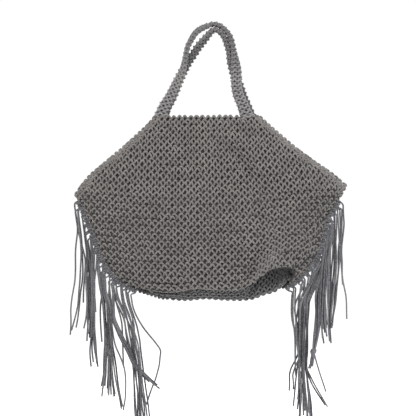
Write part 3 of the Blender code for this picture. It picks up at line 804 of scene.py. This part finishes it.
def base_lines():
    """The lines of the base strip's zigzag cords, and of the cords behind them."""
    start, end = (row[0] * BODY_HALF_WIDTH for row in (KEEL[0], KEEL[-1]))
    stations = np.linspace(start, end, BASE_STATIONS + 1)
    sections = [base_section(x) for x in stations]
    arcs = []
    for line in sections:
        arc = lengths_along(line)
        arcs.append(arc - arc[np.argmin(line[:, 1])])
    reach = max(max(-arc[0], arc[-1]) for arc in arcs)
    strands, inner = [], []
    for number in range(-int(reach / BASE_PITCH), int(reach / BASE_PITCH) + 1):
        level = number * BASE_PITCH
        held = [
            i
            for i, arc in enumerate(arcs)
            if arc[0] + BASE_ROW_END < level < arc[-1] - BASE_ROW_END
        ]
        for run in unbroken(held):
            if len(run) < FEWEST_STATIONS:
                continue
            points, ups, outs = [], [], []
            for i in run:
                at, ahead = (
                    np.array([np.interp(v, arcs[i], sections[i][:, axis]) for axis in (0, 1)])
                    for v in (level, level + BASE_PROBE)
                )
                slope = unit(ahead - at)
                points.append((stations[i], at[0], at[1]))
                ups.append((0.0, slope[0], slope[1]))
                outs.append((0.0, slope[1], -slope[0]))
            points, ups, outs = (np.array(v) for v in (points, ups, outs))
            arc = lengths_along(points)
            first = points[0, 0] / BASE_STITCH * STEPS
            ticks = np.arange(math.ceil(first), math.floor(first + arc[-1] / BASE_STITCH * STEPS))
            at = (ticks - first) * BASE_STITCH / STEPS
            middle, up, out = (points_at(at, arc, v) for v in (points, ups, outs))
            phase = 2 * math.pi * ticks / STEPS + math.pi * (number % 2)
            strands.append(
                zigzag(middle, -up, out, phase, BASE_SWING, BASE_LIFT, BASE_PINCH * BASE_STITCH)
            )
    for i in (0, BASE_STATIONS):
        turn = np.arange(len(sections[i])) * END_TURN
        edge = np.column_stack([np.full(len(turn), stations[i]), sections[i]])
        edge[:, 0] += END_WIND[0] * np.cos(turn)
        edge[:, 1] += END_WIND[1] * np.sin(turn)
        strands.append(edge)
    for i in range(2, BASE_STATIONS, BASE_INNER_EVERY):
        line = sections[i][::2]
        along = unit(np.gradient(line, axis=0))
        middle = line + np.stack([-along[:, 1], along[:, 0]], axis=-1) * BASE_INNER_INSET
        inner.append(np.column_stack([np.full(len(line), stations[i]), middle]))
    return strands, inner


def painted_shade_above(material, low, high, share):
    """Painted shade: both tones of a cord fall to a share of themselves between two heights."""
    tree = material.node_tree
    braid = next(node for node in tree.nodes if node.type == "GROUP")
    place = add_node(tree, "TexCoord")
    parts = add_node(tree, "SeparateXYZ")
    rise = add_node(tree, "MapRange", {"From Min": low, "From Max": high})
    connect(tree, (place, "Object", parts, "Vector"), (parts, "Z", rise, "Value"))
    for socket in ("Light", "Shade"):
        tone = braid.inputs[socket].default_value
        darker = (*(part * share for part in tone[:3]), 1.0)
        blend = add_node(tree, "Mix", {"A": tone, "B": darker}, data_type="RGBA")
        connect(tree, (rise, "Result", blend, "Factor"), (blend, "Result", braid, socket))


base_strands, base_inner = base_lines()
# Painted shade: the base cord is a darker copy of the panels' cord, and is darkened further higher up,
# under the wave.
base_painted_shade_finish = cord_finish("base_cord", (0.117, 0.113, 0.112), (0.068, 0.066, 0.066))
painted_shade_above(base_painted_shade_finish, low=-0.432, high=-0.410, share=0.68)
base_net = cord_mesh("base_rows", base_strands, CORD_RADIUS)
base_backing = cord_mesh("base_inner_cords", base_inner, BASE_INNER_RADIUS)
base_net.data.materials.append(base_painted_shade_finish)
base_backing.data.materials.append(painted_shade_inner_finish)
for piece in (base_net, base_backing):
    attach(piece, "root")
    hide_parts("base")

# ---- Straps
# Each strap is a flat knotted band that grows out of its panel's top edge. It turns edge on as it
# rises, and where they hang the front strap lies over the back one.

STRAP_WIDTH = 0.018
STRAP_THICKNESS = 0.0066
STRAP_GAP = 0.0010  # between the straps where one lies over the other
HANDLE_REACH = 0.080  # that the rows' values across are shares of
FRONT_STRAP = (
    # across, drop, depth, turn
    (-0.978, 0.934, 0.98, 8),
    (-0.883, 0.838, 0.93, 10),
    (-0.799, 0.742, 0.87, 16),
    (-0.724, 0.647, 0.80, 34),
    (-0.650, 0.559, 0.72, 52),
    (-0.600, 0.474, 0.65, 66),
    (-0.573, 0.396, 0.56, 77),
    (-0.549, 0.322, 0.50, 82),
    (-0.514, 0.245, 0.34, 80),
    (-0.460, 0.187, 0.14, 74),
    (-0.382, 0.112, 0.05, 68),
    (-0.282, 0.059, 0.00, 66),
    (-0.163, 0.026, 0.00, 70),
    (-0.062, 0.001, 0.00, 86),
    (0.029, -0.005, 0.00, 88),
    (0.142, 0.012, 0.00, 88),
    (0.265, 0.068, 0.03, 86),
    (0.347, 0.129, 0.08, 84),
    (0.392, 0.196, 0.16, 84),
    (0.415, 0.263, 0.24, 84),
    (0.440, 0.327, 0.32, 70),
    (0.458, 0.399, 0.43, 52),
    (0.472, 0.486, 0.56, 28),
    (0.480, 0.576, 0.66, 12),
    (0.472, 0.654, 0.75, 10),
    (0.487, 0.743, 0.84, 8),
    (0.524, 0.824, 0.90, 8),
    (0.584, 0.903, 0.96, 8),
)
BACK_STRAP = (
    # across, drop, depth, turn
    (-0.969, 0.933, 0.98, 8),
    (-0.881, 0.834, 0.93, 12),
    (-0.804, 0.735, 0.87, 18),
    (-0.735, 0.636, 0.80, 28),
    (-0.660, 0.544, 0.73, 40),
    (-0.578, 0.456, 0.66, 50),
    (-0.494, 0.372, 0.56, 56),
    (-0.397, 0.294, 0.46, 58),
    (-0.305, 0.209, 0.28, 58),
    (-0.204, 0.138, 0.12, 62),
    (-0.115, 0.079, 0.04, 72),
    (-0.041, 0.029, 0.00, 80),
    (0.035, 0.004, 0.00, 88),
    (0.104, 0.018, 0.00, 88),
    (0.182, 0.052, 0.02, 84),
    (0.244, 0.108, 0.08, 80),
    (0.281, 0.166, 0.16, 76),
    (0.316, 0.226, 0.24, 76),
    (0.335, 0.291, 0.32, 80),
    (0.347, 0.369, 0.43, 76),
    (0.398, 0.462, 0.56, 60),
    (0.458, 0.558, 0.66, 40),
    (0.514, 0.641, 0.75, 25),
    (0.561, 0.735, 0.84, 14),
    (0.604, 0.818, 0.90, 9),
    (0.658, 0.901, 0.96, 8),
)
FRONT_STRAP_FEET = (-0.863, 0.741)
BACK_STRAP_FEET = (-0.853, 0.811)
STRAP_CORD = 0.00165
STRAP_DEPTH = 0.0078  # of the knotted strap, over its tips
STRAP_BUMPS = (0.03, 0.32)  # how far every other ring stands out, across and in depth
FOOT_FLARE = (0.0050, 0.34, 0.020)  # outwards, share of the width, fading over this height
STRAP_STEPS = 6  # points from one row of its table to the next
STRAP_PITCH = 0.00385
STRAP_ZIGZAGS = 4  # round the strap
STRAP_SWING = 0.0014
STRAP_LIFT = 0.0010
STRAP_ROUNDING = 0.0002  # the ring's round ends are this much smaller than the strap's
STRAP_CORES = (-0.0058, -0.0019, 0.0019, 0.0058)  # where the inner cords lie across the strap
STRAP_CORE_RADIUS = 0.0020
FOOT_SINK = 0.008  # how far a strap's knots reach down into its panel
FOOT_TURN = 4.0


def strap_frames(rows, side, feet):
    """Places along a strap's middle line, each with its turn, from foot to foot."""
    feet = panel_points(side, np.array(feet), np.ones(2), WALL / 2)
    points = []
    nest = -side * (STRAP_THICKNESS + STRAP_GAP) / 2
    for index, (across, drop, depth, turn) in enumerate(rows):
        y = depth * feet[0 if index < len(rows) // 2 else 1][1]
        z = nest * (1 - depth) - drop * HANDLE_DROP
        points.append((across * HANDLE_REACH, y, z, turn))
    for end, (x, y, z) in zip((0, -1), feet):
        lean = (points[end][0] - x) / (points[end][2] - z)
        place = (x - lean * FOOT_SINK, y, z - FOOT_SINK, FOOT_TURN)
        points.insert(0 if end == 0 else len(points), place)
    line = curve_through(points, STRAP_STEPS)
    return line, lengths_along(line[:, :3])


def strap_lines(rows, side, feet):
    """The lines of a strap's zigzag rings and of the straight cords inside them."""
    line, arc = strap_frames(rows, side, feet)
    at = np.arange(STRAP_PITCH / 2, arc[-1], STRAP_PITCH)
    centre = points_at(at, arc, line)
    turn = np.radians(np.interp(at, arc, line[:, 3]))[:, None]
    tangent = unit(np.gradient(centre, axis=0))
    flat = unit(np.stack([tangent[:, 2], 0 * at, -tangent[:, 0]], axis=-1))
    wide = flat * np.cos(turn) + np.array((0.0, 1.0, 0.0)) * side * np.sin(turn)
    wide = unit(wide - tangent * (wide * tangent).sum(axis=1, keepdims=True))
    thick = np.cross(wide, tangent)
    round_end = STRAP_DEPTH / 2 - STRAP_CORD - STRAP_ROUNDING
    straight = STRAP_WIDTH / 2 - STRAP_CORD - round_end
    whole = 4 * straight + 2 * math.pi * round_end
    ticks = np.arange(STRAP_ZIGZAGS * STEPS)
    place = ticks / len(ticks) * whole
    sign = np.where(place < whole / 2, 1.0, -1.0)[:, None]
    past = (place % (whole / 2))[:, None] - 2 * straight
    bend = np.maximum(past, 0.0) / round_end
    wn, tn = sign * np.sin(bend), sign * np.cos(bend)
    w = wn * round_end + sign * (straight + np.minimum(past, 0.0))
    t = tn * round_end
    rings = []
    for k in range(len(at)):
        bump = 1 if k % 2 else -1
        foot = math.exp(-min(at[k], arc[-1] - at[k]) / FOOT_FLARE[2])
        middle = centre[k] + np.array((math.copysign(FOOT_FLARE[0] * foot, centre[k][0]), 0.0, 0.0))
        broad = w * (1 + bump * STRAP_BUMPS[0] + FOOT_FLARE[1] * foot)
        deep = t * (1 + bump * STRAP_BUMPS[1])
        phase = 2 * math.pi * ticks / STEPS + math.pi * (k % 2)
        rise = np.cos(phase)[:, None]
        out = wide[k] * wn + thick[k] * tn
        rings.append(
            middle
            + wide[k] * broad
            + thick[k] * deep
            + tangent[k] * rise * STRAP_SWING
            + out * rise * STRAP_LIFT
        )
    return rings, [centre + wide * offset for offset in STRAP_CORES]


strap_finish = cord_finish("strap_cord", (0.196, 0.187, 0.185), (0.137, 0.131, 0.131))
# Painted shade: the back strap's cord is a darker copy of the front strap's.
back_strap_painted_shade_finish = cord_finish("back_strap_cord", (0.140, 0.133, 0.134), (0.095, 0.090, 0.091))
# Painted shade: the cords inside the straps are a darker copy of the strap cord.
strap_painted_shade_inner_finish = cord_finish(
    "strap_inner_cord_painted_shade", (0.10, 0.095, 0.094), (0.07, 0.066, 0.066), sheen=0.0
)
# Painted shade: the front strap's cord darkens towards the top of its arch.
painted_shade_above(strap_finish, low=-0.085, high=-0.040, share=0.66)
for name, rows, side, feet, node, finish in (
    ("front_strap", FRONT_STRAP, FRONT, FRONT_STRAP_FEET, "handle_front", strap_finish),
    ("back_strap", BACK_STRAP, BACK, BACK_STRAP_FEET, "handle_back", back_strap_painted_shade_finish),
):
    rings, cores = strap_lines(rows, side, feet)
    strap = cord_mesh(f"{name}_rings", rings, STRAP_CORD, closed=True)
    strap_core = cord_mesh(f"{name}_inner_cords", cores, STRAP_CORE_RADIUS)
    strap.data.materials.append(finish)
    strap_core.data.materials.append(strap_painted_shade_inner_finish)
    for piece in (strap, strap_core):
        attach(piece, "root")
        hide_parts(node)

# ---- Fringe
# The cord ends hang out of the side seams. Each is knotted round the cord along the seam, stands
# out a little and then hangs down, and the ends gather in loose bundles that cross here and there.

MILLIMETRES = 1000  # in a metre
SEAM_TOP = 0.530  # heights from and to which the cord along a seam runs
SEAM_BOTTOMS = (0.056, 0.068)
SEAM_POINTS = 110
SEAM_CORD_OUT = 0.0035  # from the seam to where the ends leave the cord along it
SEAM_CORD_RADIUS = 0.0021
SEAM_PLIES = (0.0021, 0.0012, 0.9)  # out from the seam, from their middle, turn a point
FRINGE_CORD = 0.00154
END_LEVELS = (0.012, 0.006)  # from point to point down an end, and the least above its tip
END_ROOT = 0.004  # an end starts this far inside the seam cord's line
END_RISE = (0.0030, 0.0006)  # and comes over the cord this far out and up
END_DROP = 0.005  # then turns down this far below
HANG_OUT = 0.0043  # how far an end stands out before it hangs
HANG_SHARES = (0.15, 2.0)  # and the least and most of that
GATHER = (0.050, 0.100)  # the drop over which an end joins its bundle
SWAY = (0.0008, 0.0012, 0.7)  # of a hanging end, across and in depth, and how much slower there
SWAY_RATES = (45, 90)  # in radians a metre
SWAY_STARTS = (0, 6.3)
SEAM_GROUP = (3, 0.6)  # ends that leave the seam together, and how closely
BUNDLE_STRAY = 0.35  # of an end from its place in the bundle, as a share of the spread
BUNDLE_DEPTH = 0.0072  # how far to the front and the back the ends hang
KNOT_RADIUS = 0.0016
KNOT_POINTS = 10
KNOT_OUT = 0.0014  # from the seam to a knot's middle
KNOT_SIZE = (0.0038, 0.0034, 0.0010, 0.8)  # out, across and along the seam, and the twist
KNOT_LEAN = 0.0012
KNOT_PITCH = 0.0037
KNOT_STRAY = 0.0012
FRINGE_SEEDS = (7, 11)
BUNDLE_KNOT = (0.1656, 0.0, -0.5350)  # one bundle on the right is knotted here
BUNDLE_TURNS = ((0.0034, 0.0026), (0.0042, 0.0), (0.0034, -0.0027))  # radius, rise
BUNDLE_TILT = (0.5, 1.1)  # of a turn, as a share of its radius, and towards where


def lone_end(height, *line):
    """A bundle of one end, whose tip is where its line of x and z ends."""
    tip = line[-1][1]
    return (1, height, height, tip, tip, [(x, z, 0) for x, z in line])


LEFT_BUNDLES = (
    # ends, seam from, to, tips from, to, the line: x, z and spread in millimetres
    lone_end(0.531,
        (-221.4, -309), (-226.2, -369), (-228.7, -424), (-234.6, -467), (-235.9, -508)),
    (2, 0.51, 0.483, -495, -505, (
        (-218, -322, 2), (-216.5, -368, 1.6), (-216.8, -417, 1.6), (-221.4, -459, 2),
        (-230.2, -502, 3.3))),
    lone_end(0.456, (-208.7, -368), (-208.4, -436), (-208.4, -478), (-212, -497)),
    (10, 0.424, 0.306, -505, -521, (
        (-202.1, -388, 5.3), (-202.1, -436, 5.6), (-200.5, -483, 5.6), (-200.5, -518, 6.3))),
    (5, 0.29, 0.258, -538, -563, (
        (-196.3, -388, 2.6), (-196.3, -450, 3), (-197.2, -500, 3), (-196.3, -536, 6.6),
        (-193, -563, 8.2))),
    (13, 0.242, 0.156, -591, -610, (
        (-184, -388, 4.3), (-179.8, -421, 5.6), (-173.9, -459, 6.6), (-172.4, -516, 5.6),
        (-171.6, -574, 7.3), (-171.6, -609, 14))),
    (2, 0.151, 0.135, -619, -634, (
        (-174.9, -434, 1.6), (-169.9, -483, 1.6), (-166.6, -533, 2), (-160, -574, 2.3),
        (-150.2, -634, 2.6))),
    (6, 0.129, 0.108, -579, -601, (
        (-162, -431, 2.3), (-164.3, -459, 2.6), (-164, -478, 3), (-150.2, -514, 3.3),
        (-128.7, -557, 3.3), (-109.6, -578, 3.6), (-90.8, -595, 2.6), (-81, -601, 2.3))),
    (10, 0.113, 0.065, -639, -660, (
        (-145.2, -437, 15), (-137.8, -470, 12.5), (-134.5, -507, 10), (-126, -554, 8.5),
        (-121.5, -602, 9), (-117.5, -660, 12.5))),
    lone_end(0.057,
        (-122.8, -439), (-119.1, -459), (-104.8, -495), (-94, -516), (-86.1, -531), (-88.4, -553),
        (-94.9, -581), (-109.4, -622)),
    lone_end(0.495, (-213, -330), (-211, -380), (-213.5, -455)),
    lone_end(0.35, (-199, -380), (-196.5, -430), (-193.5, -470)),
    lone_end(0.225, (-181, -410), (-186, -460), (-184, -520)),
    lone_end(0.145,
        (-172, -440), (-166.5, -500), (-161.7, -523), (-150.2, -547), (-144.5, -568),
        (-144.5, -587), (-145.2, -613), (-147.5, -632)),
    lone_end(0.12, (-158, -425), (-152, -480), (-147, -560)),
)
RIGHT_BUNDLES = (
    # ends, seam from, to, tips from, to, the line: x, z and spread in millimetres
    lone_end(0.531,
        (217.3, -305), (218.5, -323), (211.2, -369), (213.8, -412), (218.5, -441), (221.4, -482)),
    (2, 0.512, 0.5, -480, -505, (
        (211.5, -320, 1), (209.6, -345, 1.2), (207.6, -378, 1.2), (206.2, -412, 1.4),
        (201.5, -450, 1.6), (197, -483, 1.3), (197, -505, 1.3))),
    (3, 0.487, 0.462, -485, -513, (
        (203, -327, 2.2), (201.5, -368, 2.4), (200.8, -412, 2.6), (197, -450, 2.4), (193, -483, 2),
        (194, -513, 2))),
    (10, 0.445, 0.344, -488, -528, (
        (191.4, -351, 4), (187.5, -388, 5.6), (185.8, -436, 7.3), (185.8, -490, 7.3),
        (189, -528, 5.3))),
    (7, 0.328, 0.285, -545, -566, (
        (176, -388, 4), (174.8, -434, 5), (174.4, -470, 5), (172.5, -500, 4.3), (167.5, -525, 2),
        (164.8, -538, 1), (163.3, -552, 2.3), (160, -566, 4.6))),
    lone_end(0.29,
        (168.3, -409), (169.9, -467), (167.5, -507), (163.3, -525), (168.3, -543), (185.1, -601)),
    (14, 0.269, 0.172, -622, -660, (
        (160, -409, 7.6), (151, -450, 6.9), (149.5, -507, 6.6), (148.5, -554, 5.6),
        (151.8, -602, 6.6), (154.3, -660, 10.7))),
    (2, 0.204, 0.183, -591, -625, (
        (153.4, -434, 1.6), (148.5, -483, 2.3), (141.9, -543, 2.3), (128.7, -569, 3),
        (129.5, -596, 5.6), (123.8, -625, 3.3))),
    (2, 0.242, 0.215, -615, -630, (
        (156.8, -426, 2), (150.2, -500, 2.3), (154.3, -564, 1.6), (166.6, -592, 2.6),
        (184, -621, 2.3), (189.8, -630, 2.3))),
    (5, 0.162, 0.113, -596, -634, (
        (139.4, -431, 14), (142.7, -467, 8.5), (145.2, -500, 5), (145.2, -549, 4.3),
        (141.9, -599, 6.6), (140.2, -634, 9.9))),
    (2, 0.097, 0.081, -536, -549, (
        (126.2, -437, 4.3), (132, -459, 3.3), (134.5, -490, 2.3), (138.6, -543, 4.3))),
    lone_end(0.07, (117.1, -434), (125.4, -459), (132.8, -490), (141.9, -543)),
    lone_end(0.104, (134, -428), (138.6, -450), (137, -466), (135, -500), (137, -575)),
    lone_end(0.12, (141.5, -424), (145, -440), (149, -455), (150, -500), (147, -560)),
    lone_end(0.506, (213, -310), (210.6, -360), (213, -425)),
    lone_end(0.42, (197.5, -340), (196, -400), (192.5, -487)),
    lone_end(0.335, (184, -370), (175, -420), (173.5, -480)),
    lone_end(0.3, (178, -380), (177, -440), (180, -513)),
    lone_end(0.215, (163, -410), (169, -430), (171, -455)),
    lone_end(0.13, (148, -425), (154, -450), (150.5, -480)),
)


def seam_point(side, height, out):
    """A point out from the seam between the panels, square to the seam's line, and that line."""
    x, above, below = (
        tuple(sides_at(place))[side == RIGHT] for place in (height, height + PROBE, height - PROBE)
    )
    along = unit(np.array((above - below, 0.0, 2 * PROBE * BODY_HEIGHT)))
    outward = np.array((side * along[2], 0.0, -side * along[0]))
    return np.array((x, 0.0, float(height_of(height)))) + outward * out, along, outward


def loose_end(chance, side, height, share, line, tip):
    """One cord end: out of the seam, then down, drawn to its own place in its bundle."""
    start, along, outward = seam_point(side, height, SEAM_CORD_OUT)
    x, z, spread = (np.array(row) / MILLIMETRES for row in zip(*line))
    step, above_tip = END_LEVELS
    level = np.append(np.arange(start[2] - step, tip + above_tip, -step), tip)
    target = np.interp(-level, -z, x) + share * np.interp(-level, -z, spread)
    drop = np.clip((start[2] - level) / chance.uniform(*GATHER), 0.0, 1.0)
    drawn = drop * drop * (3 - 2 * drop)
    rate, turn = chance.uniform(*SWAY_RATES), chance.uniform(*SWAY_STARTS)
    deep = chance.uniform(-1, 1) * BUNDLE_DEPTH
    hang = start[0] + side * HANG_OUT * chance.uniform(*HANG_SHARES)
    across = hang * (1 - drawn) + (target + SWAY[0] * np.sin(level * rate + turn)) * drawn
    depth = (deep + SWAY[1] * np.cos(level * rate * SWAY[2] + turn)) * drawn
    places = [
        start - outward * END_ROOT,
        start + outward * END_RISE[0] + (0.0, 0.0, END_RISE[1]),
        (hang, 0.0, start[2] - END_DROP),
        *np.column_stack([across, depth, level]),
    ]
    return curve_through(places, CURVE_STEPS)


def seam_knot(side, height, chance):
    """A turn of cord through the panels' edges and round the cord along the seam."""
    centre, along, outward = seam_point(side, height, KNOT_OUT)
    across = np.cross(along, outward)
    turn = np.arange(KNOT_POINTS)[:, None] * 2 * math.pi / KNOT_POINTS
    lean = chance.uniform(-KNOT_LEAN, KNOT_LEAN)
    out, wide, rise, twist = KNOT_SIZE
    round_cord = outward * np.cos(turn) * out + across * np.sin(turn) * wide
    return centre + round_cord + along * (np.cos(turn + twist) * rise + lean)


def bundle_knot(centre):
    """Three turns of cord that tie a bundle together."""
    turn = np.arange(KNOT_POINTS) * 2 * math.pi / KNOT_POINTS
    tilt, towards = BUNDLE_TILT
    ring = np.stack([np.cos(turn), np.sin(turn), np.cos(turn + towards) * tilt], axis=-1)
    return [np.array(centre) + ring * size + (0.0, 0.0, rise) for size, rise in BUNDLE_TURNS]


fringe_finish = cord_finish("fringe_cord", (0.150, 0.150, 0.159), (0.026, 0.026, 0.030), own=0.85)
for name, side, bundles, seam_bottom, seed in (
    ("left_fringe", LEFT, LEFT_BUNDLES, SEAM_BOTTOMS[0], FRINGE_SEEDS[0]),
    ("right_fringe", RIGHT, RIGHT_BUNDLES, SEAM_BOTTOMS[1], FRINGE_SEEDS[1]),
):
    chance = random.Random(seed)
    ends = []
    for count, top, bottom, tip_from, tip_to, line in bundles:
        for k in range(count):
            share = (k + 0.5) / count
            group = min((k // SEAM_GROUP[0] + 0.5) * SEAM_GROUP[0] / count, 1.0)
            height = top + (bottom - top) * (share + (group - share) * SEAM_GROUP[1])
            place = side * (1 - 2 * share)
            if count > 1:
                place += chance.uniform(-BUNDLE_STRAY, BUNDLE_STRAY)
            tip = (tip_from + (tip_to - tip_from) * chance.random()) / MILLIMETRES
            ends.append(loose_end(chance, side, height, place, line, tip))
    seam = np.linspace(SEAM_TOP, seam_bottom, SEAM_POINTS)
    arc = lengths_along(np.array([seam_point(side, at, SEAM_CORD_OUT)[0] for at in seam]))
    knots = [
        seam_knot(side, float(np.interp(at + chance.uniform(-1, 1) * KNOT_STRAY, arc, seam)), chance)
        for at in np.arange(0.0, arc[-1], KNOT_PITCH)
    ]
    if side == RIGHT:
        knots += bundle_knot(BUNDLE_KNOT)
    plies = []
    for ply in (0.0, math.pi):
        points = []
        for k, height in enumerate(seam):
            centre, along, outward = seam_point(side, height, SEAM_PLIES[0])
            turn = k * SEAM_PLIES[2] + ply
            away = outward * math.cos(turn) + np.cross(along, outward) * math.sin(turn)
            points.append(centre + away * SEAM_PLIES[1])
        plies.append(np.array(points))
    loose = cord_mesh(f"{name}_ends", ends, FRINGE_CORD, capped=True)
    head = cord_mesh(f"{name}_seam_cord", plies, SEAM_CORD_RADIUS)
    turns = cord_mesh(f"{name}_knots", knots, KNOT_RADIUS, closed=True)
    for piece in (loose, head, turns):
        piece.data.materials.append(fringe_finish)
        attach(piece, "root")
        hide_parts(f"fringe_{name.split('_')[0]}")
